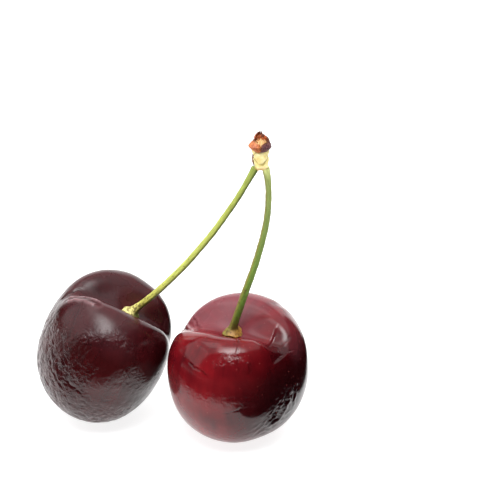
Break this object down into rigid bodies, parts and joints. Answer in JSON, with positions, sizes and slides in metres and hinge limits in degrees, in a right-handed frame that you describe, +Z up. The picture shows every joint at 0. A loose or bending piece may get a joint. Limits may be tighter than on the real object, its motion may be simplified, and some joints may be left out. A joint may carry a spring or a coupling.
{
  "type": "joined pair of sweet cherries on stalks",
  "caption": "Pair of glossy dark sweet cherries standing on a surface, their curved green stalks joined at one short bud spur with papery scales.",
  "frame": {"origin": "on the surface the fruits rest on, under the middle of the pair's box", "axes": "+Z up, +X from the left fruit to the right fruit, -Y towards the side where both fruits show their near cheeks"},
  "size_m": [0.0518, 0.0352, 0.0603],
  "materials": {
    "left_skin": "glossy dark maroon fruit skin",
    "right_skin": "glossy dark red fruit skin",
    "left_stalk": "satin yellow-green stalk",
    "right_stalk": "satin green stalk",
    "collar": "matt pale yellow, finely wrinkled",
    "tip": "matt dark brown, woody",
    "scale": "matt orange-brown, papery"
  },
  "bodies": {
    "root": {"left_cherry": "left_skin", "right_cherry": "right_skin", "left_stalk": "left_stalk", "right_stalk": "right_stalk", "spur_collar": "collar", "spur_tip": "tip", "bud_scale_1": "scale", "bud_scale_2": "scale", "bud_scale_3": "scale", "bud_scale_4": "scale", "bud_scale_5": "scale"}
  },
  "joints": []
}
